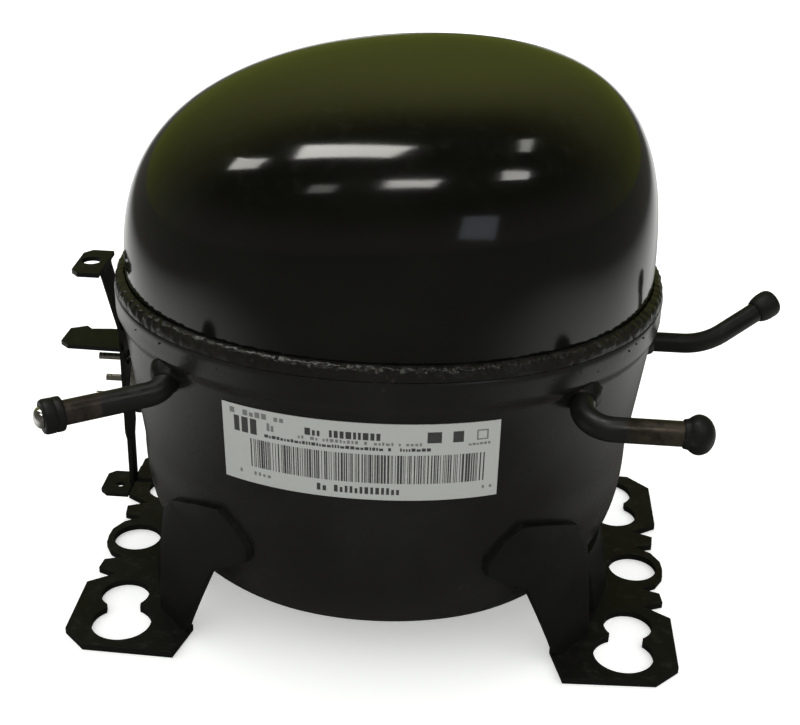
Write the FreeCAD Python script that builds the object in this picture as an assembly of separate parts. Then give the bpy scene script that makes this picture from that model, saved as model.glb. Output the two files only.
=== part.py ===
import FreeCAD, Part
import math
import os

# Hermetic reciprocating compressor. Millimetres, +Z up, +X to the right of the label side,
# -Y towards the label. Origin: centre of the mounting plates' underside.

V = FreeCAD.Vector

# ---- shell ----
SHELL_WALL = 3.0
PLAN_POWER = 2.1            # superellipse power of the plan outline, 2 is an ellipse
SECTION_POINTS = 40
BOWL_A = 86.2               # half width of the lower shell under its lip
BOWL_B = 79.2               # half depth of the lower shell under its lip
BOWL_TAPER = 5.0            # how much the wall draws in from the lip to the bowl's round
BOWL_BOTTOM = 0.6
BOWL_ROUND = 58.0           # height of the rounded bottom
BOWL_POWER = 2.7
NECK_Z = 99.0               # below this the wall is plain
LIP_Z = 103.5               # the lip's straight part starts here
SHELL_LIP_TOP = 110.8
LIP_STEP = 2.0              # how far the lip stands out from the wall
DOME_A = 84.8
DOME_B = 77.8
DOME_SKIRT_Z = 104.5
DOME_BASE_Z = 110.0
DOME_TOP_Z = 181.0
CROWN_X = 25.0              # the crown's highest point is off centre
CROWN_Y = 4.0
DOME_POWER_LEFT = 2.9
DOME_POWER_RIGHT = 3.25
DOME_POWER_DEPTH = 3.9

# ---- base plates ----
PLATE_T = 2.2
PLATE_X = 99.8              # outer edge of each plate
PLATE_Y = 65.2
INNER_HOLE = (85.0, 35.0, 8.0)      # x, y, radius: 170 x 70 pattern
OUTER_HOLE = (82.5, 50.8, 9.75)     # x, y, radius: 165 x 101.6 pattern
CENTRE_HOLE = (89.2, 0.0, 8.25)
NECK_WIDTH = 11.0           # width of the slot that joins each inner and outer hole
GUSSET_ANGLE = 47.0         # where the raised legs stand, from the X axis
GUSSET_T = 2.2

# ---- tubes through the shell ----
SUCTION_PATH = [V(61.6, -49.0, 99.7), V(60.6, -71.7, 95.5), V(93.6, -72.1, 95.5)]
PROCESS_PATH = [V(-61.3, -47.5, 100.3), V(-61.0, -63.2, 95.2), V(-90.4, -82.2, 95.0)]
DISCHARGE_PATH = [V(79.0, 3.0, 89.4), V(104.6, 3.0, 89.4), V(126.0, 15.0, 100.0)]
LARGE_TUBE_R = 3.7
LARGE_TUBE_BORE = 3.1
SMALL_TUBE_R = 3.25
SMALL_TUBE_BORE = 2.5
LARGE_TUBE_BEND = 9.0
SMALL_TUBE_BEND = 22.0
CAP_COVER = 4.6             # length of tube that each cap covers
CAP_FIT = 0.04              # radial clearance of a cap on its tube

# ---- hermetic terminal and relay bracket ----
TERMINAL_Z = 67.0
TERMINAL_R = 12.0
PIN_CIRCLE = 7.6
PIN_R = 1.15
PIN_INNER_R = 0.9
PIN_END_X = -98.3
PIN_OUTSIDE = 8.2           # length of full-size pin that takes the relay's sockets
BRACKET_X = -88.45          # inner face of the bracket's upright strip
BRACKET_T = 1.5
PIN_HOLE_R = 2.6            # clearance hole in the strip for the upper pin
TOP_TAB_Z = 108.0
TOP_HOLE = (-98.6, -0.2)
TOP_HOLE_R = 3.2
FOOT_HOLE = (-93.0, -4.0)
FOOT_HOLE_R = 1.5

# ---- label ----
LABEL_X = (-42.5, 37.6)
LABEL_Z = (70.2, 97.0)

# ---- pump ----
OX = -12.0                  # crankshaft axis; it stands at y = 0
SHAFT_R = 8.0
SHAFT_BOTTOM = 44.0
RUN_FIT = 0.03              # radial running clearance
THROW = 8.0                 # crank radius, half the stroke
PIN_RADIUS = 6.0
WEB_Z = (125.0, 129.0)
CRANK_PIN_TOP = 149.5
CYL_Z = 142.0               # height of the cylinder axis
BORE_R = 12.0
PISTON_R = 11.97
YOKE_R = 12.5
YOKE_BORE = 10.0
YOKE_HALF = 19.0
PISTON_CROWN = OX + 44.0    # crown face with the crank at rest, at mid stroke
CYL_START = OX + 22.0
CYL_END = OX + 53.3
GASKET_T = 0.5
VALVE_PLATE_T = 4.0
HEAD_T = 12.0
HEAD_HALF = 23.0            # half side of the square head joint
HEAD_BOLT = 17.0
HEAD_BOLT_R = 2.0
REED_T = 0.3
REED_HALF = 3.0
REED_Y = 6.0
REED_LENGTH = 15.0

# ---- motor ----
STATOR_Z = (52.0, 92.0)
STATOR_HALF = 48.0
STATOR_BORE = 29.0
SLOTS = 24
SLOT_W = 4.6
SLOT_R = (30.5, 40.2)
BOLT_XY = 34.0
BOLT_R = 3.0
ROTOR_R = 28.6
CAGE_BARS = 20
CAGE_RING = (15.0, 27.0)
CAGE_RING_H = 6.0
HUB_R = 15.0
HUB_Z = (100.0, 124.0)
BLOCK_PLATE_Z = (109.0, 117.0)

# ---- suspension ----
SEAT_TOP = 22.0
UPPER_SEAT = 43.0
SPRING_WIRE = 0.8
SPRING_R = 6.0
SPRING_TURNS = 5.0


def cyl(radius, start, axis, length):
    return Part.makeCylinder(radius, length, start, axis)


def box(x, y, z):
    return Part.makeBox(x[1] - x[0], y[1] - y[0], z[1] - z[0], V(x[0], y[0], z[0]))


def pipe(path_points, bend, radius):
    """A round bar along straight runs joined by bends of one radius."""
    edges = []
    start = path_points[0]
    for i in range(1, len(path_points) - 1):
        corner = path_points[i]
        before = (path_points[i - 1] - corner).normalize()
        after = (path_points[i + 1] - corner).normalize()
        half = before.getAngle(after) / 2
        run = bend / math.tan(half)
        middle = (before + after).normalize() * (bend / math.sin(half) - bend)
        bend_start = corner + before * run
        bend_end = corner + after * run
        edges.append(Part.makeLine(start, bend_start))
        edges.append(Part.Arc(bend_start, corner + middle, bend_end).toShape())
        start = bend_end
    edges.append(Part.makeLine(start, path_points[-1]))
    return sweep(edges, radius)


def sweep(edges, radius):
    wire = Part.Wire(edges)
    first = edges[0]
    at = first.valueAt(first.FirstParameter)
    along = first.tangentAt(first.FirstParameter)
    ring = Part.Wire([Part.makeCircle(radius, at, along)])
    return wire.makePipeShell([ring], True, True)


def spline_sweep(points, radius):
    curve = Part.BSplineCurve()
    curve.interpolate(points)
    return sweep([curve.toShape()], radius)


def end_frame(path_points):
    """The open end of a tube and the direction it points."""
    return path_points[-1], (path_points[-1] - path_points[-2]).normalize()


def turned(profile, origin, axis):
    """A solid turned about an axis; profile is a closed list of (along, radius)."""
    points = [V(r, 0, h) for h, r in profile]
    face = Part.Face(Part.makePolygon(points + [points[0]]))
    solid = face.revolve(V(0, 0, 0), V(0, 0, 1), 360)
    turn = FreeCAD.Rotation(V(0, 0, 1), axis)
    solid.Placement = FreeCAD.Placement(origin, turn)
    return solid


def prism(points, direction):
    return Part.Face(Part.makePolygon(points + [points[0]])).extrude(direction)


# ---- shell outlines ----

def section(z, cx, cy, a, b):
    """A closed superellipse outline at height z."""
    power = 2 / PLAN_POWER
    points = []
    for i in range(SECTION_POINTS):
        t = 2 * math.pi * i / SECTION_POINTS
        c = math.cos(t)
        s = math.sin(t)
        x = cx + a * math.copysign(abs(c) ** power, c)
        y = cy + b * math.copysign(abs(s) ** power, s)
        points.append(V(x, y, z))
    curve = Part.BSplineCurve()
    curve.interpolate(points, PeriodicFlag=True)
    return Part.Wire([curve.toShape()])


def stack(outlines):
    return Part.makeLoft([section(*o) for o in outlines], True, True)


def bowl_outlines(inset, top):
    """Outlines of the lower shell from the bottom up, drawn in by inset."""
    a = BOWL_A - inset
    b = BOWL_B - inset
    centre = BOWL_BOTTOM + BOWL_ROUND
    depth = BOWL_ROUND - inset
    out = []
    for angle in (4, 10, 18, 26, 34, 42, 50, 58, 66, 74, 82, 90):
        t = math.radians(angle)
        f = math.sin(t) ** (2 / BOWL_POWER)
        z = centre - depth * abs(math.cos(t)) ** (2 / BOWL_POWER)
        out.append((z, 0, 0, (a - BOWL_TAPER) * f, (b - BOWL_TAPER) * f))
    out.append((NECK_Z, 0, 0, a, b))
    if top > NECK_Z:
        grow = LIP_STEP
        out.append((LIP_Z, 0, 0, a + grow, b + grow))
        out.append((top, 0, 0, a + grow, b + grow))
    return out


def dome_outlines(inset):
    """Outlines of the upper shell from its skirt up, drawn in by inset."""
    a = DOME_A - inset
    b = DOME_B - inset
    height = DOME_TOP_Z - inset - DOME_BASE_Z
    out = [(DOME_SKIRT_Z, 0, 0, a, b)]
    for angle in (0, 10, 20, 28, 36, 44, 52, 60, 67, 73, 79, 84, 87.5):
        t = math.radians(angle)
        up = math.sin(t)
        left = (a + CROWN_X) * (1 - up ** DOME_POWER_LEFT) ** (1 / DOME_POWER_LEFT)
        right = (a - CROWN_X) * (1 - up ** DOME_POWER_RIGHT) ** (1 / DOME_POWER_RIGHT)
        swell = (1 - up ** DOME_POWER_DEPTH) ** (1 / DOME_POWER_DEPTH)
        front = (b + CROWN_Y) * swell
        back = (b - CROWN_Y) * swell
        cx = CROWN_X + (right - left) / 2
        cy = CROWN_Y + (back - front) / 2
        out.append((DOME_BASE_Z + height * up, cx, cy, (left + right) / 2, (front + back) / 2))
    return out


def upper_shell():
    inner = [(DOME_SKIRT_Z - 1, 0, 0, DOME_A - SHELL_WALL, DOME_B - SHELL_WALL)]
    inner += dome_outlines(SHELL_WALL)[1:]
    return stack(dome_outlines(0)).cut(stack(inner))


def bowl_solid(outset, top=NECK_Z):
    """The lower shell's outer form, grown by outset."""
    return stack(bowl_outlines(-outset, top))


def lower_shell():
    inner = bowl_outlines(SHELL_WALL, SHELL_LIP_TOP + 1)
    body = stack(bowl_outlines(0, SHELL_LIP_TOP)).cut(stack(inner))
    for path, radius in tube_list():
        axis = (path[1] - path[0]).normalize()
        body = body.cut(cyl(radius + 0.05, path[0] - axis * 6, axis, 20))
    hole = cyl(TERMINAL_R + 0.03, V(-BOWL_A - 4, 0, TERMINAL_Z), V(1, 0, 0), 14)
    return body.cut(hole)


def shell_weld():
    """The weld bead that fills the corner between the dome and the lip."""
    a = DOME_A
    b = DOME_B
    low = SHELL_LIP_TOP + 0.02
    outer = [(low, 0, 0, a + 3.4, b + 3.4), (low + 1.6, 0, 0, a + 3.2, b + 3.2),
             (low + 3.4, 0, 0, a + 2.2, b + 2.2), (low + 4.5, 0, 0, a + 0.9, b + 0.9)]
    inner = [(low - 1, 0, 0, a + 0.04, b + 0.04), (low + 6, 0, 0, a + 0.04, b + 0.04)]
    return stack(outer).cut(stack(inner))


# ---- base plates ----

def plate_outline():
    """Half of the right plate's outline, from the middle of its outer edge to the inner edge."""
    return [(PLATE_X, 0), (99.4, 4.5), (96.5, 9.8), (91.3, 13.2), (97.4, 15.3), (98.0, 20.6),
            (91.2, 23.6), (PLATE_X, 29.5), (PLATE_X, 56.0), (92.0, 64.0), (62.4, PLATE_Y),
            (58.6, 50.0), (69.8, 38.4), (72.0, 31.0), (73.0, 27.0), (76.0, 0)]


def snowman(side):
    """The joined inner and outer mounting holes of one corner."""
    x1, y1, r1 = INNER_HOLE
    x2, y2, r2 = OUTER_HOLE
    up = V(0, 0, 1)
    hole = cyl(r1, V(x1, side * y1, -1), up, 10)
    hole = hole.fuse(cyl(r2, V(x2, side * y2, -1), up, 10))
    along = V(x2 - x1, side * (y2 - y1), 0)
    across = V(-along.y, along.x, 0).normalize() * (NECK_WIDTH / 2)
    start = V(x1, side * y1, -1)
    corners = [start + across, start + along + across, start + along - across, start - across]
    return hole.fuse(prism(corners, V(0, 0, 10)))


def wall_band(low_inset, high_inset, height):
    """A band of gusset thickness round the bowl, from the floor to a height; it may lean."""
    solids = []
    for thick in (GUSSET_T, 0):
        ends = [(0, low_inset - thick), (height, high_inset - thick)]
        solids.append(stack([(z, 0, 0, BOWL_A - inset, BOWL_B - inset) for z, inset in ends]))
    return solids[0].cut(solids[1])


def gusset(side):
    """A raised leg that runs from the flat plate up to a rounded weld pad on the bowl."""
    angle = math.radians(GUSSET_ANGLE) * side
    out = V(math.cos(angle), math.sin(angle), 0)
    tangent = V(-math.sin(angle), math.cos(angle), 0) * side
    outline = [(-25, 0.0), (-8.5, 0.0), (-5, 8), (1, 21), (6.6, 33), (14, 37), (20, 41),
               (20.5, 45.7), (16, 52), (10, 56.5), (2, 55), (-6, 52.5), (-12.4, 50),
               (-17.5, 44), (-20.5, 32), (-23, 16)]
    points = [out * 60 + tangent * s + V(0, 0, z) for s, z in outline]
    return wall_band(5.2, 5.2, 60).common(prism(points, out * 40))


def mounting_plate(side):
    """One of the two mirrored plates; side is 1 on the right and -1 on the left."""
    half = plate_outline()
    outline = half + [(x, -y) for x, y in reversed(half[1:-1])]
    plate = prism([V(x, y, 0) for x, y in outline], V(0, 0, PLATE_T))
    rise = wall_band(8.0, 12.6, 24).common(box((60, 90), (-28, 28), (0, 24)))
    plate = plate.fuse([rise, gusset(1), gusset(-1)])
    holes = [snowman(1), snowman(-1)]
    x, y, r = CENTRE_HOLE
    holes.append(cyl(r, V(x, y, -1), V(0, 0, 1), 10))
    for hole in holes:
        plate = plate.cut(hole)
    plate = plate.cut(bowl_solid(0.05))
    if side < 0:
        plate = plate.mirror(V(0, 0, 0), V(1, 0, 0))
    return plate.removeSplitter()


# ---- tubes and caps ----

def tube_list():
    return [(SUCTION_PATH, LARGE_TUBE_R), (PROCESS_PATH, LARGE_TUBE_R),
            (DISCHARGE_PATH, SMALL_TUBE_R)]


def large_tube(path):
    return pipe(path, LARGE_TUBE_BEND, LARGE_TUBE_R).cut(pipe(path, LARGE_TUBE_BEND, LARGE_TUBE_BORE))


def discharge_tube():
    outer = pipe(DISCHARGE_PATH, SMALL_TUBE_BEND, SMALL_TUBE_R)
    return outer.cut(pipe(DISCHARGE_PATH, SMALL_TUBE_BEND, SMALL_TUBE_BORE))


def weld_collars():
    """A brazed ring round each tube where it leaves the shell."""
    rings = []
    for path, radius in tube_list():
        axis = (path[1] - path[0]).normalize()
        ring = cyl(radius + 1.2, path[0] - axis * 5, axis, 15.5)
        ring = ring.cut(cyl(radius + 0.02, path[0] - axis * 6, axis, 20))
        ring = ring.cut(bowl_solid(0.03, SHELL_LIP_TOP))
        rings.append(largest_solid(ring))
    return Part.Compound(rings)


def largest_solid(shape):
    return max(shape.Solids, key=lambda s: s.Volume)


def ball_cap():
    """A soft ball-shaped cap pulled over the suction tube's end."""
    end, axis = end_frame(SUCTION_PATH)
    r = LARGE_TUBE_R + CAP_FIT
    outer = [(-CAP_COVER, r + 0.5)]
    for i in range(0, 10):
        t = math.radians(-38 + 124 * i / 9)
        outer.append((-0.2 + 4.6 * math.sin(t), 5.8 * math.cos(t)))
    profile = [(-CAP_COVER, r)] + outer + [(4.4, 0), (0.05, 0), (0.05, r)]
    return turned(profile, end, axis)


def sleeve_cap():
    """A rubber sleeve on the process tube's end, open in the middle for its steel ball."""
    end, axis = end_frame(PROCESS_PATH)
    r = LARGE_TUBE_R + CAP_FIT
    profile = [(-CAP_COVER, r), (-CAP_COVER, r + 1.0), (-CAP_COVER + 0.6, r + 1.4), (0.8, r + 1.4),
               (1.4, r + 0.8), (1.4, 2.6), (0.05, 2.6), (0.05, r)]
    return turned(profile, end, axis)


def sealing_ball():
    """The steel plug pressed into the sleeve, with a domed outer end."""
    end, axis = end_frame(PROCESS_PATH)
    profile = [(-3.0, 0), (-3.0, 2.0), (-2.5, 2.6), (1.45, 2.6), (1.45, 3.2)]
    for i in range(1, 8):
        t = math.radians(90 * i / 8)
        profile.append((1.45 + 2.2 * math.sin(t), 3.2 * math.cos(t)))
    profile.append((3.65, 0))
    return turned(profile, end, axis)


def discharge_plug():
    """The rubber plug that closes the discharge tube, with a thick rim over the tube's end."""
    end, axis = end_frame(DISCHARGE_PATH)
    r = SMALL_TUBE_R + CAP_FIT
    profile = [(-5.5, r), (-5.5, r + 0.4), (-4.2, 4.2), (-2.6, 4.6), (0.2, 4.6), (1.6, 4.2), (2.2, 3.6),
               (2.2, 2.6), (1.0, 2.2), (1.0, 0), (0.05, 0), (0.05, r)]
    return turned(profile, end, axis)


# ---- terminal, bracket and label ----

def pin_places():
    places = []
    for angle in (90, 210, 330):
        t = math.radians(angle)
        places.append((PIN_CIRCLE * math.cos(t), TERMINAL_Z + PIN_CIRCLE * math.sin(t)))
    return places


def terminal_body():
    body = cyl(TERMINAL_R, V(-85.2, 0, TERMINAL_Z), V(1, 0, 0), 6.4)
    for y, z in pin_places():
        body = body.cut(cyl(2.8, V(-90, y, z), V(1, 0, 0), 20))
    return body


def terminal_glass():
    beads = []
    for y, z in pin_places():
        bead = cyl(2.8, V(-84.6, y, z), V(1, 0, 0), 5.2)
        beads.append(bead.cut(cyl(PIN_INNER_R, V(-90, y, z), V(1, 0, 0), 20)))
    return Part.Compound(beads)


def terminal_pins():
    """Three pins, each thinner from the bracket inwards, through its glass and into the plug."""
    pins = []
    for y, z in pin_places():
        outside = cyl(PIN_R, V(PIN_END_X, y, z), V(1, 0, 0), PIN_OUTSIDE)
        pins.append(outside.fuse(cyl(PIN_INNER_R, V(PIN_END_X, y, z), V(1, 0, 0), 27.0)))
    return Part.Compound(pins)


def terminal_connector():
    """The moulded plug that joins the lead wires to the pins inside the shell."""
    plug = box((-76.6, -69.4), (-10.0, 10.0), (TERMINAL_Z - 8, TERMINAL_Z + 11))
    for y, z in pin_places():
        plug = plug.cut(cyl(PIN_INNER_R + 0.05, V(-80, y, z), V(1, 0, 0), 9.3))
    return plug


def slab(points, z):
    """A flat piece of bracket steel of the given outline, lying at height z."""
    return prism([V(x, y, z) for x, y in points], V(0, 0, BRACKET_T))


def relay_bracket():
    """The pressed steel bracket that holds the starter relay over the terminal."""
    outer = BRACKET_X - BRACKET_T
    strip = prism([V(outer, -3, 26), V(outer, 3, 26), V(outer, 3, 44), V(outer, 5, 48), V(outer, 5, 86.5),
                   V(outer, -5, 86.5), V(outer, -5, 48), V(outer, -3, 44)], V(BRACKET_T, 0, 0))
    pin_y, pin_z = pin_places()[0]
    strip = strip.cut(cyl(PIN_HOLE_R, V(outer - 1, pin_y, pin_z), V(1, 0, 0), 4))
    inside = BRACKET_X - 0.5
    mid = slab([(inside, -6.8), (-107.2, -6.2), (-110.2, -3.3), (-109.8, 6.9), (-104.6, 9.6),
                (-102.6, 7.4), (-95.8, 8.2), (inside, 8.2)], 79.6)
    near = V(BRACKET_X - 0.3, -5, 83)
    far = V(outer, -5, 83)
    strap = [near, near + V(0, 0, 3.2), V(-93.4, -5, 107), V(-93.4, -5, TOP_TAB_Z + BRACKET_T),
             V(-95.5, -5, TOP_TAB_Z + BRACKET_T), V(-95.5, -5, TOP_TAB_Z), V(-94.9, -5, TOP_TAB_Z),
             V(-94.9, -5, 107), far + V(0, 0, 3.2), far]
    strap = prism(strap, V(0, 10, 0))
    strap = strap.fuse(cyl(1.6, V(-95.2, 0, 103.5), V(1, 0, 0), 2.0))
    top = slab([(-93.4, -11.4), (-100.5, -11.4), (-103.0, -8.5), (-103.0, 6.2), (-100.5, 9.1),
                (-93.4, 9.1)], TOP_TAB_Z)
    top = top.cut(cyl(TOP_HOLE_R, V(TOP_HOLE[0], TOP_HOLE[1], 100), V(0, 0, 1), 20))
    foot = slab([(inside, -10.0), (-96.5, -10.0), (-99.0, -7.5), (-99.0, 2.8), (-96.8, 5.0),
                 (inside, 5.0)], 25.0)
    foot = foot.cut(cyl(FOOT_HOLE_R, V(FOOT_HOLE[0], FOOT_HOLE[1], 20), V(0, 0, 1), 12))
    root = slab([(inside, 0.6), (-70.0, 0.6), (-70.0, 9.3), (inside, 9.3)], 25.0)
    shelf = slab([(inside, -5.0), (-80.0, -5.0), (-80.0, 5.0), (inside, 5.0)], 85.0)
    body = strip.fuse([mid, strap, top, foot, root, shelf])
    return body.cut(bowl_solid(0.04, SHELL_LIP_TOP)).removeSplitter()


def rating_label():
    """A thin label bonded to the front of the lower shell."""
    sheet = bowl_solid(0.3).cut(bowl_solid(0.05))
    return sheet.common(box(LABEL_X, (-100, 0), LABEL_Z))


# ---- moving pump parts ----

def crankshaft():
    up = V(0, 0, 1)
    shaft = cyl(SHAFT_R, V(OX, 0, SHAFT_BOTTOM), up, WEB_Z[0] + 1 - SHAFT_BOTTOM)
    web_h = WEB_Z[1] - WEB_Z[0]
    web = cyl(12.0, V(OX, 0, WEB_Z[0]), up, web_h)
    web = web.fuse(cyl(8.5, V(OX, THROW, WEB_Z[0]), up, web_h))
    lobe = cyl(20.0, V(OX, 0, WEB_Z[0]), up, web_h)
    lobe = lobe.common(box((OX - 17, OX + 17), (-25, -4), WEB_Z))
    pin = cyl(PIN_RADIUS, V(OX, THROW, WEB_Z[0]), up, CRANK_PIN_TOP - WEB_Z[0])
    body = shaft.fuse([web, lobe, pin])
    gallery = cyl(1.2, V(OX, THROW / 2, SHAFT_BOTTOM - 1), up, 120)
    seat = cyl(1.4 + RUN_FIT, V(OX, THROW / 2, CRANK_PIN_TOP - 3), up, 4)
    return body.cut(gallery.fuse(seat)).removeSplitter()


def oil_gallery_plug():
    return cyl(1.4, V(OX, THROW / 2, CRANK_PIN_TOP - 2.95), V(0, 0, 1), 2.9)


def slider_block():
    block = cyl(YOKE_BORE - RUN_FIT, V(OX, THROW - 9, CYL_Z), V(0, 1, 0), 18)
    return block.cut(cyl(PIN_RADIUS + RUN_FIT, V(OX, THROW, CYL_Z - 20), V(0, 0, 1), 40))


def yoke():
    """The cross tube in which the slider block runs, with a slot for the crank pin."""
    tube = cyl(YOKE_R, V(OX, -YOKE_HALF, CYL_Z), V(0, 1, 0), 2 * YOKE_HALF)
    tube = tube.cut(cyl(YOKE_BORE, V(OX, -YOKE_HALF - 1, CYL_Z), V(0, 1, 0), 2 * YOKE_HALF + 2))
    width = PIN_RADIUS + 0.8
    reach = THROW + width
    return tube.cut(box((OX - width, OX + width), (-reach, reach), (CYL_Z - 20, CYL_Z)))


def piston():
    body = cyl(PISTON_R, V(OX + 6, 0, CYL_Z), V(1, 0, 0), PISTON_CROWN - OX - 6)
    body = body.cut(cyl(YOKE_R, V(OX, -30, CYL_Z), V(0, 1, 0), 60))
    for x in (PISTON_CROWN - 7, PISTON_CROWN - 11):
        groove = cyl(PISTON_R + 1, V(x, 0, CYL_Z), V(1, 0, 0), 1.2)
        body = body.cut(groove.cut(cyl(PISTON_R - 0.5, V(x, 0, CYL_Z), V(1, 0, 0), 1.2)))
    return largest_solid(body)


def oil_pickup():
    """The thin tube on the shaft's end that lifts oil from the bottom of the shell."""
    profile = [(46.5, SHAFT_R), (46.5, 9.0), (38.0, 9.0), (10.0, 4.0), (10.0, 3.0), (37.8, SHAFT_R)]
    profile = [(h - 10.0, r) for h, r in profile]
    return turned(profile, V(OX, 0, 10.0), V(0, 0, 1))


def thrust_washer():
    ring = cyl(14.0, V(OX, 0, HUB_Z[1] + 0.02), V(0, 0, 1), 0.93)
    return ring.cut(cyl(SHAFT_R + 0.05, V(OX, 0, HUB_Z[1]), V(0, 0, 1), 2))


def rotor_cage():
    up = V(0, 0, 1)
    z0, z1 = STATOR_Z
    r0, r1 = CAGE_RING
    rings = []
    for z in (z0 - CAGE_RING_H, z1):
        ring = cyl(r1, V(OX, 0, z), up, CAGE_RING_H)
        rings.append(ring.cut(cyl(r0, V(OX, 0, z - 1), up, CAGE_RING_H + 2)))
    bars = []
    for i in range(CAGE_BARS):
        t = 2 * math.pi * i / CAGE_BARS
        place = V(OX + 25.0 * math.cos(t), 25.0 * math.sin(t), z0 - 1)
        bars.append(cyl(1.7, place, up, z1 - z0 + 2))
    return rings[0].fuse(rings[1:] + bars).removeSplitter()


def rotor_core():
    core = cyl(ROTOR_R, V(OX, 0, STATOR_Z[0]), V(0, 0, 1), STATOR_Z[1] - STATOR_Z[0])
    core = core.cut(cyl(SHAFT_R, V(OX, 0, 0), V(0, 0, 1), 200))
    return core.cut(rotor_cage())


def counterweight():
    up = V(0, 0, 1)
    z = STATOR_Z[1] + CAGE_RING_H
    ring = cyl(CAGE_RING[1], V(OX, 0, z), up, 6.5).cut(cyl(17.5, V(OX, 0, z - 1), up, 9))
    return ring.common(box((OX - 40, OX + 40), (-40, -3), (z, z + 7)))


# ---- motor, fixed on the pump ----

def bolt_places():
    return [(OX + sx * BOLT_XY, sy * BOLT_XY) for sx in (-1, 1) for sy in (-1, 1)]


def slot_boxes(width, low_r, high_r, z, chosen):
    """One radial box for each chosen slot."""
    out = []
    for i in chosen:
        slot = box((low_r, high_r), (-width / 2, width / 2), z)
        slot.rotate(V(0, 0, 0), V(0, 0, 1), 360 * (i + 0.5) / SLOTS)
        slot.translate(V(OX, 0, 0))
        out.append(slot)
    return out


def start_slots():
    return [i for i in range(SLOTS) if i % 12 in (4, 5, 6, 7)]


def main_slots():
    return [i for i in range(SLOTS) if i % 12 not in (4, 5, 6, 7)]


def stator_core():
    body = box((OX - STATOR_HALF, OX + STATOR_HALF), (-STATOR_HALF, STATOR_HALF), STATOR_Z)
    edges = [e for e in body.Edges if abs(e.Vertexes[0].Z - e.Vertexes[1].Z) > 1]
    body = body.makeFillet(8.0, edges)
    tall = (STATOR_Z[0] - 1, STATOR_Z[1] + 1)
    tools = [cyl(STATOR_BORE, V(OX, 0, 40), V(0, 0, 1), 70)]
    tools += slot_boxes(SLOT_W, SLOT_R[0], SLOT_R[1], tall, range(SLOTS))
    tools += slot_boxes(2.0, STATOR_BORE - 1, SLOT_R[0] + 0.1, tall, range(SLOTS))
    tools += [cyl(BOLT_R + 0.2, V(x, y, 40), V(0, 0, 1), 70) for x, y in bolt_places()]
    return body.cut(tools)


def slot_liners():
    """Thin insulation that lines each slot and stands out at both ends."""
    z = (STATOR_Z[0] - 1.2, STATOR_Z[1] + 1.2)
    outer = slot_boxes(SLOT_W - 0.04, SLOT_R[0] + 0.05, SLOT_R[1] - 0.05, z, range(SLOTS))
    tall = (z[0] - 1, z[1] + 1)
    inner = slot_boxes(SLOT_W - 0.36, SLOT_R[0] + 0.2, SLOT_R[1] - 0.2, tall, range(SLOTS))
    return Part.Compound([a.cut(b) for a, b in zip(outer, inner)])


def winding(low_r, high_r, ring, chosen):
    """One winding: a ring of end turns at each end, joined by the wires in its slots."""
    up = V(0, 0, 1)
    z0, z1 = STATOR_Z
    parts = []
    for z in (z0 - 13.0, z1 + 1.6):
        solid = cyl(ring[1], V(OX, 0, z), up, 11.4)
        parts.append(solid.cut(cyl(ring[0], V(OX, 0, z - 1), up, 14)))
    parts += slot_boxes(SLOT_W - 0.4, low_r, high_r, (z0 - 3, z1 + 3), chosen)
    return parts[0].fuse(parts[1:]).removeSplitter()


def stator_bolts():
    bolts = []
    for x, y in bolt_places():
        head = cyl(5.0, V(x, y, STATOR_Z[0] - 5), V(0, 0, 1), 5)
        bolts.append(head.fuse(cyl(BOLT_R, V(x, y, STATOR_Z[0]), V(0, 0, 1), 52)))
    return Part.Compound(bolts)


# ---- cylinder block and head, fixed on the pump ----

def cylinder_block():
    up = V(0, 0, 1)
    east = V(1, 0, 0)
    z0, z1 = BLOCK_PLATE_Z
    plate = box((OX - 41, OX + 50), (-41, 41), BLOCK_PLATE_Z)
    edges = [e for e in plate.Edges if abs(e.Vertexes[0].Z - e.Vertexes[1].Z) > 1]
    plate = plate.makeFillet(9.0, edges)
    hub = cyl(HUB_R, V(OX, 0, HUB_Z[0]), up, HUB_Z[1] - HUB_Z[0])
    housing = cyl(17.0, V(CYL_START, 0, CYL_Z), east, CYL_END - CYL_START)
    pedestal = box((CYL_START, CYL_END), (-14, 14), (z1 - 1, CYL_Z - 8))
    flange = box((CYL_END - 10, CYL_END), (-HEAD_HALF, HEAD_HALF),
                 (CYL_Z - HEAD_HALF, CYL_Z + HEAD_HALF))
    boss = cyl(13.0, V(18, 30, z1 - 1), up, 21)
    bridge = box((16, 34), (10, 26), (z1 - 1, 137))
    legs = [cyl(7.0, V(x, y, STATOR_Z[1]), up, z0 + 1 - STATOR_Z[1]) for x, y in bolt_places()]
    body = plate.fuse([hub, housing, pedestal, flange, boss, bridge] + legs)
    cuts = [cyl(BORE_R, V(CYL_START - 1, 0, CYL_Z), east, 60),
            cyl(SHAFT_R + RUN_FIT, V(OX, 0, 90), up, 60),
            cyl(10.5, V(18, 30, z1 + 3), up, 30),
            cyl(1.6, V(24, 13, CYL_Z - 8), east, 40),
            cyl(1.3, V(25.7, 13, CYL_Z - 8), V(0, 1, 0), 12)]
    cuts += [cyl(BOLT_R, V(x, y, 90), up, 15) for x, y in bolt_places()]
    for y, z in head_bolt_places():
        cuts.append(cyl(HEAD_BOLT_R, V(CYL_END - 9, y, z), east, 10))
    return body.cut(cuts).removeSplitter()


def head_bolt_places():
    return [(sy * HEAD_BOLT, CYL_Z + sz * HEAD_BOLT) for sy in (-1, 1) for sz in (-1, 1)]


def head_slab(x0, x1, bolt_r):
    """A square slab of the head joint with its four bolt holes."""
    z = (CYL_Z - HEAD_HALF, CYL_Z + HEAD_HALF)
    slab = box((x0, x1), (-HEAD_HALF, HEAD_HALF), z)
    for y, z in head_bolt_places():
        slab = slab.cut(cyl(bolt_r, V(x0 - 1, y, z), V(1, 0, 0), x1 - x0 + 2))
    return slab


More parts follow.
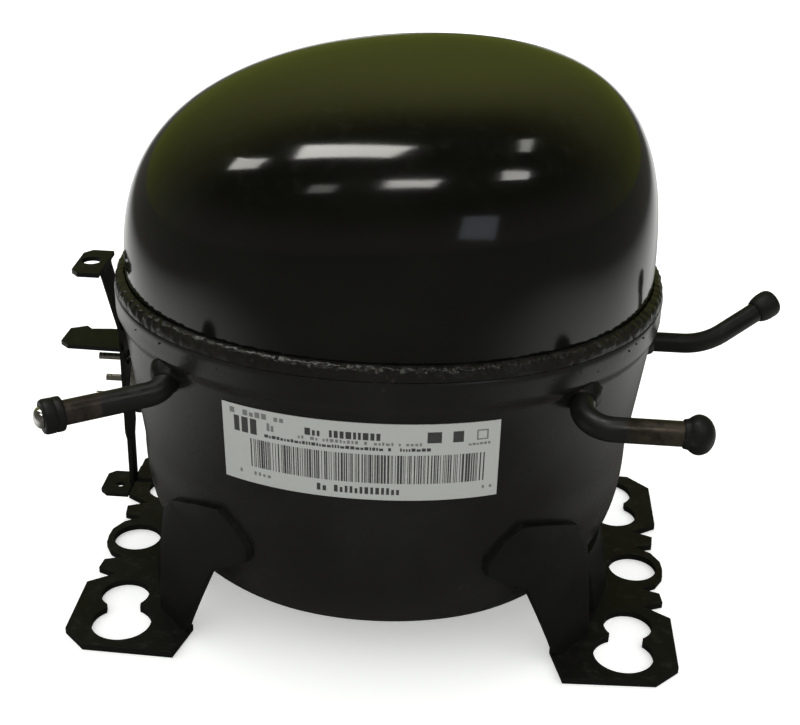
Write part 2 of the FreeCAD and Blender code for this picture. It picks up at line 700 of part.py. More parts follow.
def passage(x, length):
    """The discharge passage that runs back from the head to the muffler."""
    return cyl(1.6, V(x, 13, CYL_Z - 8), V(1, 0, 0), length)


def cylinder_gasket():
    x0 = CYL_END
    x1 = x0 + GASKET_T
    slab = head_slab(x0, x1, HEAD_BOLT_R + 0.3)
    slab = slab.cut(cyl(BORE_R + 0.6, V(x0 - 1, 0, CYL_Z), V(1, 0, 0), 4))
    return slab.cut(passage(x0 - 1, 4))


def valve_plate():
    x0 = CYL_END + GASKET_T
    x1 = x0 + VALVE_PLATE_T
    slab = head_slab(x0, x1, HEAD_BOLT_R + 0.2)
    slab = slab.cut(cyl(1.9, V(x0 - 1, -REED_Y, CYL_Z - 3.5), V(1, 0, 0), 8))
    slab = slab.cut(cyl(1.8, V(x0 - 1, REED_Y, CYL_Z + 3.5), V(1, 0, 0), 8))
    return slab.cut(passage(x0 - 1, 8))


def plenums(x0, x1):
    """The suction and discharge spaces of the head, with the wall between them left standing."""
    z = (CYL_Z - 14, CYL_Z + 14)
    return [box((x0, x1), (-14.6, -1.8), z), box((x0, x1), (1.8, 14.6), z)]


def head_gasket():
    x0 = CYL_END + GASKET_T + VALVE_PLATE_T
    slab = head_slab(x0, x0 + GASKET_T, HEAD_BOLT_R + 0.3)
    return slab.cut(plenums(x0 - 1, x0 + 2))


def head_x():
    return CYL_END + 2 * GASKET_T + VALVE_PLATE_T


def cylinder_head():
    x0 = head_x()
    slab = head_slab(x0, x0 + HEAD_T, HEAD_BOLT_R + 0.2)
    slab = slab.cut(plenums(x0 - 1, x0 + 8.5))
    return slab.cut(cyl(4.0, V(x0 + 4.4, -8.5, CYL_Z - HEAD_HALF - 1), V(0, 0, 1), 12))


def head_bolts():
    bolts = []
    for y, z in head_bolt_places():
        head = cyl(3.5, V(head_x() + HEAD_T, y, z), V(1, 0, 0), 3.2)
        head = head.cut(cyl(1.6, V(head_x() + HEAD_T + 1.4, y, z), V(1, 0, 0), 4))
        shank = cyl(HEAD_BOLT_R, V(CYL_END - 8.5, y, z), V(1, 0, 0), head_x() + HEAD_T - CYL_END + 8.5)
        bolts.append(head.fuse(shank))
    return Part.Compound(bolts)


def suction_reed():
    x1 = CYL_END + GASKET_T - 0.05
    z = (CYL_Z - REED_LENGTH / 2, CYL_Z + REED_LENGTH / 2)
    return box((x1 - REED_T, x1), (-REED_Y - REED_HALF, -REED_Y + REED_HALF), z)


def discharge_reed():
    x0 = CYL_END + GASKET_T + VALVE_PLATE_T + 0.05
    z = (CYL_Z - REED_LENGTH / 2, CYL_Z + REED_LENGTH / 2)
    return box((x0, x0 + REED_T), (REED_Y - REED_HALF, REED_Y + REED_HALF), z)


def discharge_stop():
    """The stiff strip that limits the discharge reed's lift, on a foot beside the reed's root."""
    x0 = CYL_END + GASKET_T + VALVE_PLATE_T
    low = CYL_Z - REED_LENGTH / 2
    y = (REED_Y - 2.6, REED_Y + 2.6)
    foot = box((x0, x0 + 2.3), y, (low - 3.6, low - 0.2))
    strip = box((x0 + 1.5, x0 + 2.3), y, (low - 3.6, low + REED_LENGTH + 0.8))
    return foot.fuse(strip)


def discharge_muffler_cover():
    up = V(0, 0, 1)
    cap = cyl(13.0, V(18, 30, 137), up, 1.6).fuse(cyl(10.5, V(18, 30, 138), up, 3.4))
    cap = cap.cut(cyl(9.2, V(18, 30, 136), up, 4.0))
    return cap.cut(cyl(1.7, V(18, 30, 130), up, 20))


def muffler_box():
    return (44.0, 71.0), (-20.0, 16.0)


def suction_muffler_body():
    """The lower half of the plastic suction muffler, an open box with an inlet in its side."""
    x, y = muffler_box()
    body = box(x, y, (98, 110))
    inner = box((x[0] + 1.6, x[1] - 1.6), (y[0] + 1.6, y[1] - 1.6), (99.6, 111))
    return body.cut(inner).cut(cyl(4.0, V(62, y[0] - 1, 104.5), V(0, 1, 0), 4))


def suction_muffler_lid():
    """The muffler's upper half, with the neck that feeds the head."""
    x, y = muffler_box()
    body = box(x, y, (110, 117))
    inner = box((x[0] + 1.6, x[1] - 1.6), (y[0] + 1.6, y[1] - 1.6), (109, 115.4))
    up = V(0, 0, 1)
    neck_x = head_x() + 4.4
    body = body.cut(inner).fuse(cyl(3.97, V(neck_x, -8.5, 115.5), up, 10))
    return body.cut(cyl(2.9, V(neck_x, -8.5, 110), up, 20))


# ---- suspension and the parts that flex with it ----

def suspension_springs():
    """Four coil springs that carry the pump."""
    low = SEAT_TOP + SPRING_WIRE + 0.05
    height = UPPER_SEAT - SEAT_TOP - 2 * SPRING_WIRE - 0.1
    helix = Part.makeHelix(height / SPRING_TURNS, height, SPRING_R)
    ring = Part.Wire([Part.makeCircle(SPRING_WIRE, V(SPRING_R, 0, 0), V(0, 1, 0))])
    coil = Part.Wire(helix).makePipeShell([ring], True, True)
    coils = []
    for x, y in bolt_places():
        copy = coil.copy()
        copy.translate(V(x, y, low))
        coils.append(copy)
    return Part.Compound(coils)


def lower_spring_seats():
    """Seats fixed in the bowl, each with a nub that centres its spring."""
    cavity = stack(bowl_outlines(SHELL_WALL + 0.05, NECK_Z))
    seats = []
    for x, y in bolt_places():
        seat = cyl(7.2, V(x, y, 0), V(0, 0, 1), SEAT_TOP).common(cavity)
        seats.append(seat.fuse(cyl(4.6, V(x, y, SEAT_TOP - 1), V(0, 0, 1), 5)))
    return Part.Compound(seats)


def upper_spring_seats():
    """Plastic cups that fit over the stator bolts' heads and centre the springs."""
    up = V(0, 0, 1)
    cups = []
    for x, y in bolt_places():
        cup = cyl(7.0, V(x, y, UPPER_SEAT), up, 8).cut(cyl(5.1, V(x, y, UPPER_SEAT + 3.9), up, 6))
        cups.append(cup.fuse(cyl(4.6, V(x, y, UPPER_SEAT - 4), up, 5)))
    return Part.Compound(cups)


def discharge_loop():
    """The long bent tube that carries hot gas from the muffler to the shell and flexes."""
    points = [V(18, 30, 141.8), V(18, 30.6, 145), V(16.5, 37, 150), V(10, 52, 146), V(-2, 60, 134),
              V(-30, 56, 118), V(-62, 34, 108), V(-73, 0, 105), V(-60, -40, 106), V(-22, -62, 103),
              V(20, -62, 99), V(50, -42, 93), V(62, -20, 90), V(67.5, -1, 89.4), V(74.5, 3, 89.4),
              V(78.9, 3, 89.4)]
    return spline_sweep(points, 2.4).cut(spline_sweep(points, 1.7))


def lead_wires():
    """Three insulated wires from the terminal plug to the windings."""
    wires = []
    for y in (-5.5, 0.0, 5.5):
        points = [V(-69.2, y, 62), V(-67.5, y, 61.8), V(-64, y, 58), V(-62.6, y, 49),
                  V(-58.5, y, 44), V(-52.6, y, 43.5)]
        wires.append(spline_sweep(points, 1.1))
    return Part.Compound(wires)


NODES = {
    "upper_shell": upper_shell,
    "lower_shell": lower_shell,
    "shell_weld": shell_weld,
    "left_mounting_plate": lambda: mounting_plate(-1),
    "right_mounting_plate": lambda: mounting_plate(1),
    "suction_tube": lambda: large_tube(SUCTION_PATH),
    "process_tube": lambda: large_tube(PROCESS_PATH),
    "discharge_tube": discharge_tube,
    "tube_weld_collars": weld_collars,
    "suction_tube_cap": ball_cap,
    "process_tube_cap": sleeve_cap,
    "process_tube_ball": sealing_ball,
    "discharge_tube_plug": discharge_plug,
    "terminal_body": terminal_body,
    "terminal_glass": terminal_glass,
    "terminal_pins": terminal_pins,
    "terminal_connector": terminal_connector,
    "relay_bracket": relay_bracket,
    "rating_label": rating_label,
    "crankshaft": crankshaft,
    "oil_gallery_plug": oil_gallery_plug,
    "slider_block": slider_block,
    "yoke": yoke,
    "piston": piston,
    "oil_pickup": oil_pickup,
    "thrust_washer": thrust_washer,
    "rotor_cage": rotor_cage,
    "rotor_core": rotor_core,
    "counterweight": counterweight,
    "stator_core": stator_core,
    "slot_liners": slot_liners,
    "main_winding": lambda: winding(34.6, 39.9, (34.2, 40.0), main_slots()),
    "start_winding": lambda: winding(30.9, 33.8, (30.0, 33.8), start_slots()),
    "stator_bolts": stator_bolts,
    "cylinder_block": cylinder_block,
    "cylinder_gasket": cylinder_gasket,
    "valve_plate": valve_plate,
    "suction_reed": suction_reed,
    "discharge_reed": discharge_reed,
    "discharge_stop": discharge_stop,
    "head_gasket": head_gasket,
    "cylinder_head": cylinder_head,
    "head_bolts": head_bolts,
    "discharge_muffler_cover": discharge_muffler_cover,
    "suction_muffler_body": suction_muffler_body,
    "suction_muffler_lid": suction_muffler_lid,
    "suspension_springs": suspension_springs,
    "lower_spring_seats": lower_spring_seats,
    "upper_spring_seats": upper_spring_seats,
    "discharge_loop": discharge_loop,
    "lead_wires": lead_wires,
}

os.makedirs("parts", exist_ok=True)
for name, make in NODES.items():
    shape = make()
    shape.exportStep("parts/" + name + ".step")
    print(name, len(shape.Solids), round(shape.Volume), shape.isValid())
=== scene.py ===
import math
import random

import bpy
from mathutils import Matrix, Vector, noise

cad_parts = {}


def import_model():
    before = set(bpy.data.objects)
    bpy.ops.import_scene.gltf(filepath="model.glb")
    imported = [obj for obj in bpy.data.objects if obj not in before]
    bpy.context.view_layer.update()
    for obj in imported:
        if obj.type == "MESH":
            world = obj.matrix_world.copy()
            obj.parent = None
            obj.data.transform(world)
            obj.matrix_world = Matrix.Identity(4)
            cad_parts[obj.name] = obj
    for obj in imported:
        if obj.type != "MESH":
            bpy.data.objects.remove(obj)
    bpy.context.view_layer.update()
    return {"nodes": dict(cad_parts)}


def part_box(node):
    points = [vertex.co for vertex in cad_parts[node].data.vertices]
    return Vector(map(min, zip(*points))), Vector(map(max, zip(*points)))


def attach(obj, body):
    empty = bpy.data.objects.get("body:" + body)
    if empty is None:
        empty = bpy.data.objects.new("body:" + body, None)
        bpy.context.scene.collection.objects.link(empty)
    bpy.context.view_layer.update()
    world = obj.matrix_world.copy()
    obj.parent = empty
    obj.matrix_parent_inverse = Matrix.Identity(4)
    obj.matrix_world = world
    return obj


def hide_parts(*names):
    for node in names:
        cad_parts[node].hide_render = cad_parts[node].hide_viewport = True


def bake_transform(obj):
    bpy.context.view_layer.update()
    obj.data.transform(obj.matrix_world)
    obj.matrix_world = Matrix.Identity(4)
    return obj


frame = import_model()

NODES = frame["nodes"]
MM = 0.001
RANDOM = random.Random(4)


def node_box(node):
    """A CAD node's lowest and highest corners, in millimetres to a tenth."""
    return [[round(value / MM, 1) for value in corner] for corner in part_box(node)]


# ---------------------------------------------------------------- sizes, in millimetres

# Both shells, seen from above, are superellipses of this power.
PLAN_POWER = 2.1
WALL = 3.0

# The bowl: half width and half depth at its neck, which the taper makes smaller lower down.
LIP_STEP = 2.0
LIP_A, LIP_B, LIP_TOP = node_box("lower_shell")[1]
BOWL_A, BOWL_B, BOWL_TAPER = LIP_A - LIP_STEP, LIP_B - LIP_STEP, 5.0
BOWL_BOTTOM, BOWL_ROUND, BOWL_POWER = 0.6, 58.0, 2.7
BOWL_TURN_Z = BOWL_BOTTOM + BOWL_ROUND
NECK_Z, FLARE_TOP = 99.0, 104.0

# The dome: its crown lies to one side, and each side and the height have a power of their own.
SKIRT_Z = node_box("upper_shell")[0][2]
DOME_A, DOME_B = node_box("upper_shell")[1][:2]
DOME_Z, DOME_TOP = 110.0, 181.0
CROWN_X, CROWN_Y = 25.0, 4.0
POWER_LEFT, POWER_RIGHT, POWER_DEPTH = 2.9, 3.25, 3.9
RING_POINTS = 256

# The tubes: corners of their middle lines, from the root to the open end.
SUCTION = [(61.6, -49.0, 99.7), (60.6, -71.7, 95.5), (93.6, -72.1, 95.5)]
PROCESS = [(-61.3, -47.5, 100.3), (-61.0, -63.2, 95.2), (-90.4, -82.2, 95.0)]
DISCHARGE = [(79.0, 3.0, 89.4), (104.6, 3.0, 89.4), (126.0, 15.0, 100.0)]
LARGE_R, LARGE_BORE, LARGE_BEND = 3.7, 3.1, 9.0
SMALL_R, SMALL_BORE, SMALL_BEND = 3.25, 2.5, 22.0

# The closures: gap round the tube, gap beyond its end, and how far they reach back over it.
CAP_GAP, CAP_FLOOR = 0.04, 0.05
LARGE_COVER, SMALL_COVER = 4.6, 5.5
STUD_R, STUD_HOLE_R = 2.6, 2.65

# The label: its outline, and the lifts off the wall between which film and ink lie.
(LABEL_LEFT, _, LABEL_LOW), (LABEL_RIGHT, _, LABEL_HIGH) = node_box("rating_label")
FILM, INK = (0.06, 0.30), (0.29, 0.335)


# ---------------------------------------------------------------- materials

class Graph:
    """The nodes of a new material or world, under construction."""

    def __init__(self, owner, output="ShaderNodeOutputMaterial"):
        owner.use_nodes = True
        self.owner = owner
        self.tree = owner.node_tree
        self.tree.nodes.clear()
        self.out = self.tree.nodes.new(output)
        self.coords = self.tree.nodes.new("ShaderNodeTexCoord").outputs

    def put(self, socket, value):
        """Links an output to a socket, or sets the socket's own value."""
        if isinstance(value, bpy.types.NodeSocket):
            self.tree.links.new(value, socket)
        elif isinstance(value, (tuple, list)) and len(value) == 3 and socket.type == "RGBA":
            socket.default_value = (*value, 1.0)
        else:
            socket.default_value = value

    def node(self, kind, inputs=None, **settings):
        made = self.tree.nodes.new(kind)
        for key, value in settings.items():
            setattr(made, key, value)
        for key, value in (inputs or {}).items():
            self.put(made.inputs[key], value)
        return made

    def noise(self, scale, detail=3.0, rough=0.5, stretch=None):
        place = self.coords["Object"]
        if stretch:
            place = self.node("ShaderNodeMapping", {"Vector": place, "Scale": stretch}).outputs[0]
        inputs = {"Vector": place, "Scale": scale, "Detail": detail, "Roughness": rough}
        return self.node("ShaderNodeTexNoise", inputs).outputs["Fac"]

    def band(self, value, low, high, start=0.0, end=1.0):
        """value mapped from low..high to start..end and held at the ends."""
        inputs = {"Value": value, "From Min": low, "From Max": high, "To Min": start, "To Max": end}
        return self.node("ShaderNodeMapRange", inputs, interpolation_type="SMOOTHSTEP").outputs[0]

    def math(self, operation, a, b=0.0):
        made = self.node("ShaderNodeMath", operation=operation)
        self.put(made.inputs[0], a)
        self.put(made.inputs[1], b)
        return made.outputs[0]

    def mix(self, share, a, b):
        inputs = {"Factor": share, "A": a, "B": b}
        return self.node("ShaderNodeMix", inputs, data_type="RGBA").outputs["Result"]

    def bump(self, height, distance):
        inputs = {"Height": height, "Distance": distance, "Strength": 1.0}
        return self.node("ShaderNodeBump", inputs).outputs[0]

    def split(self, vector):
        """The X, Y and Z of a vector."""
        return self.node("ShaderNodeSeparateXYZ", {"Vector": vector}).outputs

    def up(self):
        """How much the surface faces upwards."""
        return self.split(self.node("ShaderNodeNewGeometry").outputs["Normal"])["Z"]

    def close(self, shader):
        self.tree.links.new(shader.outputs[0], self.out.inputs["Surface"])
        return self.owner

    def finish(self, **inputs):
        """The finished material; in the inputs' names an underscore stands for a space."""
        named = {key.replace("_", " "): value for key, value in inputs.items()}
        return self.close(self.node("ShaderNodeBsdfPrincipled", named))


def material_graph(name):
    return Graph(bpy.data.materials.new(name))


def scaled(colour, factor):
    return tuple(channel * factor for channel in colour)


DUST = (0.20, 0.19, 0.165)
RUBBED = (0.09, 0.075, 0.06)
BLACK_PAINT = (0.0045, 0.0045, 0.004)


def paint(name, colour, rough, peel, peel_scale, dust, worn=0.0, specular=0.5):
    """Enamel over steel: orange peel, cloudy gloss, fine rubs, and dust where the surface faces up."""
    g = material_graph(name)
    cloud = g.noise(26, 4, 0.6)
    rubs = g.noise(34, 6, 0.7, (1, 1, 9))
    shade = g.mix(g.band(cloud, 0.35, 0.7), colour, scaled(colour, 1.45))
    gloss = g.band(cloud, 0.3, 0.75, rough * 0.86, rough * 1.18)
    gloss = g.math("ADD", gloss, g.band(rubs, 0.6, 0.75, 0.0, rough * 0.35))
    specks = g.math("MULTIPLY", g.band(g.up(), 0.15, 0.95), g.band(g.noise(260, 5, 0.75), 0.5, 0.7))
    specks = g.math("MULTIPLY", specks, dust)
    shade = g.mix(specks, shade, DUST)
    gloss = g.math("ADD", gloss, g.math("MULTIPLY", specks, 0.4))
    if worn:
        marks = g.math("MULTIPLY", g.band(g.noise(95, 6, 0.8), 0.63, 0.70), worn)
        shade = g.mix(marks, shade, RUBBED)
    skin = g.bump(g.noise(peel_scale, 2, 0.5), peel)
    return g.finish(Base_Color=shade, Roughness=gloss, Normal=skin, Specular_IOR_Level=specular)


def metal(name, colour, rough, grain=(1, 1, 1), scale=300, depth=0.00002, tint=None):
    """Bare metal with a grain along one direction and a little tarnish."""
    g = material_graph(name)
    lines = g.noise(scale, 5, 0.65, grain)
    cloud = g.noise(38, 4, 0.6)
    shade = g.mix(g.band(cloud, 0.35, 0.75), colour, tint or scaled(colour, 0.72))
    gloss = g.band(lines, 0.3, 0.7, rough * 0.75, rough * 1.3)
    return g.finish(Base_Color=shade, Metallic=1.0, Roughness=gloss, Normal=g.bump(lines, depth))


def moulded(name, colour, rough, scale=500, depth=0.00002, **more):
    """Moulded plastic or rubber with a fine skin and a few lighter scuffs."""
    g = material_graph(name)
    fine = g.noise(scale, 3, 0.6)
    scuff = g.band(g.noise(80, 6, 0.75), 0.58, 0.7)
    lighter = tuple(min(1, channel * 1.6 + 0.02) for channel in colour)
    shade = g.mix(g.math("MULTIPLY", scuff, 0.25), colour, lighter)
    gloss = g.band(fine, 0.3, 0.7, rough * 0.9, rough * 1.12)
    return g.finish(Base_Color=shade, Roughness=gloss, Normal=g.bump(fine, depth), **more)


def half_painted_tube(name, edge, outwards, bare):
    """Copper tube, black near the shell and bare beyond an uneven edge at x; outwards is 1 or -1."""
    g = material_graph(name)
    along = g.split(g.coords["Object"])["X"]
    ragged = g.math("ADD", along, g.band(g.noise(300, 4, 0.7), 0.2, 0.8, -1.6 * MM, 1.6 * MM))
    start, end = (0.0, 1.0) if outwards > 0 else (1.0, 0.0)
    share = g.band(ragged, edge - 0.4 * MM, edge + 0.4 * MM, start, end)
    stains = g.band(g.noise(140, 5, 0.7), 0.35, 0.68)
    copper = g.mix(stains, bare, scaled(bare, 0.35))
    shade = g.mix(share, BLACK_PAINT, copper)
    gloss = g.band(g.noise(220, 4, 0.6), 0.3, 0.7, 0.32, 0.5)
    return g.finish(Base_Color=shade, Metallic=g.math("MULTIPLY", share, 0.75), Roughness=gloss,
                    Normal=g.bump(g.noise(600, 3), 0.00003))


DOME_PAINT = paint("dome_enamel", (0.0022, 0.0022, 0.0016), 0.11, peel=0.000008, peel_scale=330, dust=0.02)
BOWL_PAINT = paint("bowl_enamel", (0.0055, 0.0053, 0.0049), 0.25, peel=0.00004, peel_scale=520, dust=0.1,
                   worn=0.12, specular=0.42)
WELD_PAINT = paint("weld_enamel", (0.0060, 0.0056, 0.0044), 0.30, peel=0.00008, peel_scale=700, dust=0.06,
                   worn=0.2, specular=0.26)
PLATE_PAINT = paint("plate_enamel", (0.0050, 0.0048, 0.0042), 0.46, peel=0.00005, peel_scale=560, dust=0.06,
                    worn=0.12, specular=0.14)
TUBE_PAINT = paint("tube_enamel", (0.0048, 0.0046, 0.0042), 0.42, peel=0.00006, peel_scale=700, dust=0.05,
                   worn=0.15, specular=0.2)
SUCTION_SKIN = half_painted_tube("suction_tube_skin", 73.5 * MM, 1, (0.060, 0.049, 0.037))
PROCESS_SKIN = half_painted_tube("process_tube_skin", -76.0 * MM, -1, (0.060, 0.047, 0.038))
RUBBER = moulded("cap_rubber", (0.0055, 0.0055, 0.0052), 0.5, 650, 0.00004, Specular_IOR_Level=0.22)
BALL_STEEL = metal("bright_ball", (0.72, 0.71, 0.69), 0.16, scale=200)
PLATED = metal("plated_steel", (0.42, 0.41, 0.38), 0.32, scale=420)
PIN_METAL = metal("pin_metal", (0.50, 0.47, 0.41), 0.3, (9, 1, 1))
LABEL_FILM = moulded("label_film", (0.30, 0.304, 0.288), 0.5, 900, 0.00001)
LABEL_INK = moulded("label_ink", (0.030, 0.030, 0.030), 0.55, 900, 0.000004)
LABEL_GREY = moulded("label_grey_ink", (0.115, 0.115, 0.112), 0.55, 900, 0.000004)
GLASS_BEAD = moulded("glass_bead", (0.10, 0.16, 0.14), 0.12, 300, 0.00001, Transmission_Weight=0.3)
NYLON = moulded("nylon", (0.62, 0.59, 0.50), 0.45)
PAPER = moulded("slot_film", (0.70, 0.66, 0.54), 0.6)
GASKET = moulded("gasket_fibre", (0.16, 0.18, 0.15), 0.85, 900, 0.00008)
MUFFLER = moulded("muffler_plastic", (0.66, 0.63, 0.55), 0.42)
CAST = metal("cast_iron", (0.20, 0.20, 0.205), 0.5, scale=700, depth=0.00012)
STEEL = metal("machined_steel", (0.50, 0.50, 0.51), 0.26, (1, 1, 12))
LAMINATION = metal("laminations", (0.27, 0.28, 0.31), 0.42, (0.02, 0.02, 8), 230, 0.00012)
CAST_ALLOY = metal("cast_aluminium", (0.66, 0.66, 0.68), 0.42, scale=500, depth=0.00006)
WINDING = metal("winding_wire", (0.50, 0.20, 0.07), 0.3, (0.15, 0.15, 6), 420, 0.00022, (0.36, 0.13, 0.04))
WIRE_SKIN = moulded("wire_insulation", (0.62, 0.58, 0.50), 0.35)


# ---------------------------------------------------------------- mesh tools, in millimetres

def piece(name, points, faces, material, body=None, stands_for=None, slot=None, crease=None):
    """A smooth-shaded mesh that rides on a body; crease is the angle above which edges stay sharp."""
    mesh = bpy.data.meshes.new(name)
    mesh.from_pydata([Vector(point) * MM for point in points], [], faces)
    mesh.validate()
    mesh.polygons.foreach_set("use_smooth", [True] * len(mesh.polygons))
    if crease:
        mesh.set_sharp_from_angle(angle=math.radians(crease))
    obj = bpy.data.objects.new(name, mesh)
    bpy.context.collection.objects.link(obj)
    obj.data.materials.append(material)
    if body:
        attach(obj, body)
    if stands_for:
        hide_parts(stands_for)
    return obj


def loft(rings, closed=False):
    """Points and faces of a skin through rings of equal count; a ring of one point is a pole."""
    points, starts = [], []
    for ring in rings:
        starts.append(len(points))
        points += ring
    faces = []
    pairs = [(i, i + 1) for i in range(len(rings) - 1)]
    if closed:
        pairs.append((len(rings) - 1, 0))
    for one, two in pairs:
        a, b = starts[one], starts[two]
        count = max(len(rings[one]), len(rings[two]))
        for k in range(count):
            after = (k + 1) % count
            if len(rings[one]) == 1:
                faces.append((a, b + k, b + after))
            elif len(rings[two]) == 1:
                faces.append((a + k, b, a + after))
            else:
                faces.append((a + k, b + k, b + after, a + after))
    return points, faces


def merged(parts):
    """Several meshes as one."""
    points, faces = [], []
    for more_points, more_faces in parts:
        base = len(points)
        points += more_points
        faces += [tuple(i + base for i in face) for face in more_faces]
    return points, faces


def plan_ring(z, a, b, count=RING_POINTS, centre=(0.0, 0.0), wobble=None):
    """A superellipse outline, rounded off a little where it crosses its axes."""
    power, soft = 2 / PLAN_POWER, 0.01
    gain = (1 + soft) ** ((power - 1) / 2)

    def eased(part):
        return part * (part * part + soft) ** ((power - 1) / 2) / gain

    ring = []
    for i in range(count):
        turn = 2 * math.pi * i / count
        x, y = eased(math.cos(turn)), eased(math.sin(turn))
        grow = wobble(turn, z) if wobble else 0.0
        ring.append(Vector((centre[0] + (a + grow) * x, centre[1] + (b + grow) * y, z)))
    return ring


def directions(path):
    """For each point of a path, the directions along and across it, carried along without twist."""
    tangents = []
    for i in range(len(path)):
        before, after = path[max(i - 1, 0)], path[min(i + 1, len(path) - 1)]
        tangents.append((after - before).normalized())
    side = tangents[0].orthogonal().normalized()
    out = []
    for tangent in tangents:
        if out:
            side = (side - tangent * side.dot(tangent)).normalized()
        out.append((tangent, side, tangent.cross(side)))
    return out


def spaced(a, b, step):
    """Evenly spaced points from a to b."""
    count = max(2, int((b - a).length / step))
    return [a.lerp(b, k / count) for k in range(count + 1)]


def round_bend(corners, bend, step=1.0):
    """Points along straight runs joined by bends, with small steps."""
    corners = [Vector(corner) for corner in corners]
    path = [corners[0]]
    for i in range(1, len(corners) - 1):
        before = (corners[i - 1] - corners[i]).normalized()
        after = (corners[i + 1] - corners[i]).normalized()
        half = before.angle(after) / 2
        run = bend / math.tan(half)
        first, last = corners[i] + before * run, corners[i] + after * run
        middle = corners[i] + (before + after).normalized() * (bend / math.sin(half))
        path += spaced(path.pop(), first, step)
        turn = math.pi - 2 * half
        count = max(4, int(turn * bend / step))
        axis = (first - middle).cross(last - middle).normalized()
        for k in range(1, count + 1):
            path.append(middle + Matrix.Rotation(turn * k / count, 3, axis) @ (first - middle))
    path += spaced(path.pop(), corners[-1], step)
    return path


def pipe_mesh(path, outer, inner, around=40):
    """A tube with rounded end edges."""
    turns = directions(path)
    last = len(path) - 1

    def ring(i, radius, shift=0.0):
        along, side, up = turns[i]
        centre = path[i] + along * shift
        return [centre + (side * math.cos(angle) + up * math.sin(angle)) * radius
                for angle in (2 * math.pi * k / around for k in range(around))]

    edge = (outer - inner) * 0.3
    slight = edge * 0.3
    rings = [ring(0, inner + edge)]
    rings += [ring(i, outer, -edge if i == last else 0.0) for i in range(last + 1)]
    rings += [ring(last, outer - slight, -slight), ring(last, outer - edge)]
    rings += [ring(last, inner + edge), ring(last, inner + slight, -slight)]
    rings += [ring(i, inner, -edge if i == last else 0.0) for i in range(last, -1, -1)]
    return loft(rings, closed=True)


def lathe(profile, origin, axis, around=56, wobble=0.0):
    """A closed profile of (along, radius) turned about an axis; a radius of 0 is a pole."""
    axis = Vector(axis).normalized()
    side = axis.orthogonal().normalized()
    up = axis.cross(side)
    rings = []
    for along, radius in profile:
        centre = Vector(origin) + axis * along
        if radius == 0:
            rings.append([centre])
            continue
        ring = []
        for k in range(around):
            angle = 2 * math.pi * k / around
            place = centre + (side * math.cos(angle) + up * math.sin(angle)) * radius
            if wobble:
                place += (place - centre).normalized() * wobble * noise.noise(place * 0.9)
            ring.append(place)
        rings.append(ring)
    return loft(rings, closed=len(rings[0]) > 1)


def ellipse(centre, along, radius, start, end, count):
    """Profile points on an ellipse about the turning axis; its equator is at 0 degrees."""
    angles = (math.radians(start + (end - start) * i / count) for i in range(count))
    return [(centre + along * math.sin(angle), radius * math.cos(angle)) for angle in angles]


# ---------------------------------------------------------------- shell

def smooth_step(value, low, high):
    """0 below low, 1 above high, and an even curve between them."""
    share = min(max((value - low) / (high - low), 0.0), 1.0)
    return share * share * (3 - 2 * share)


def drawn_ripple(depth):
    """Slight unevenness left in the sheet by deep drawing."""
    def wobble(turn, z):
        place = Vector((math.cos(turn) * 1.6, math.sin(turn) * 1.6, z * 0.016))
        return depth * noise.noise(place) + depth * 0.3 * noise.noise(place * 2.7)
    return wobble


def dome_ring(up, inset=0.0, wobble=None):
    """The dome's outline at a share of its height; each side shrinks to the crown by its own power."""
    a, b = DOME_A - inset, DOME_B - inset
    height = DOME_TOP - inset - DOME_Z
    left = (a + CROWN_X) * (1 - up ** POWER_LEFT) ** (1 / POWER_LEFT)
    right = (a - CROWN_X) * (1 - up ** POWER_RIGHT) ** (1 / POWER_RIGHT)
    swell = (1 - up ** POWER_DEPTH) ** (1 / POWER_DEPTH)
    front, back = (b + CROWN_Y) * swell, (b - CROWN_Y) * swell
    centre = (CROWN_X + (right - left) / 2, CROWN_Y + (back - front) / 2)
    half_width, half_depth = (left + right) / 2, (front + back) / 2
    return plan_ring(DOME_Z + height * up, half_width, half_depth, centre=centre, wobble=wobble)


def dome_heights():
    """Shares of the dome's height, from its base to just under the crown, closer where it turns."""
    low = [math.sin(math.radians(angle)) for angle in range(0, 52, 2)]
    widths = [0.86 - 0.03 * i for i in range(28)]
    high = [(1 - width ** POWER_LEFT) ** (1 / POWER_LEFT) for width in widths]
    return low + [up for up in high if up > low[-1] + 0.004]


def upper_shell():
    ripple = drawn_ripple(0.22)
    heights = dome_heights()
    rings = [plan_ring(z, DOME_A, DOME_B) for z in (SKIRT_Z, 106.0, 107.5, 108.8)]
    rings += [dome_ring(up, wobble=ripple) for up in heights]
    rings += [[Vector((CROWN_X, CROWN_Y, DOME_TOP))], [Vector((CROWN_X, CROWN_Y, DOME_TOP - WALL))]]
    rings += [dome_ring(up, WALL) for up in reversed(heights)]
    rings.append(plan_ring(SKIRT_Z, DOME_A - WALL, DOME_B - WALL))
    points, faces = loft(rings)
    inner_rim = len(points) - RING_POINTS
    for k in range(RING_POINTS):
        after = (k + 1) % RING_POINTS
        faces.append((k, after, inner_rim + after, inner_rim + k))
    piece("dome", points, faces, DOME_PAINT, "shell", "upper_shell", "shell_paint_gloss", 40)


def bowl_wall(z):
    """Half width and half depth of the bowl's straight wall at a height."""
    taper = BOWL_TAPER * (NECK_Z - z) / (NECK_Z - BOWL_TURN_Z)
    return BOWL_A - taper, BOWL_B - taper


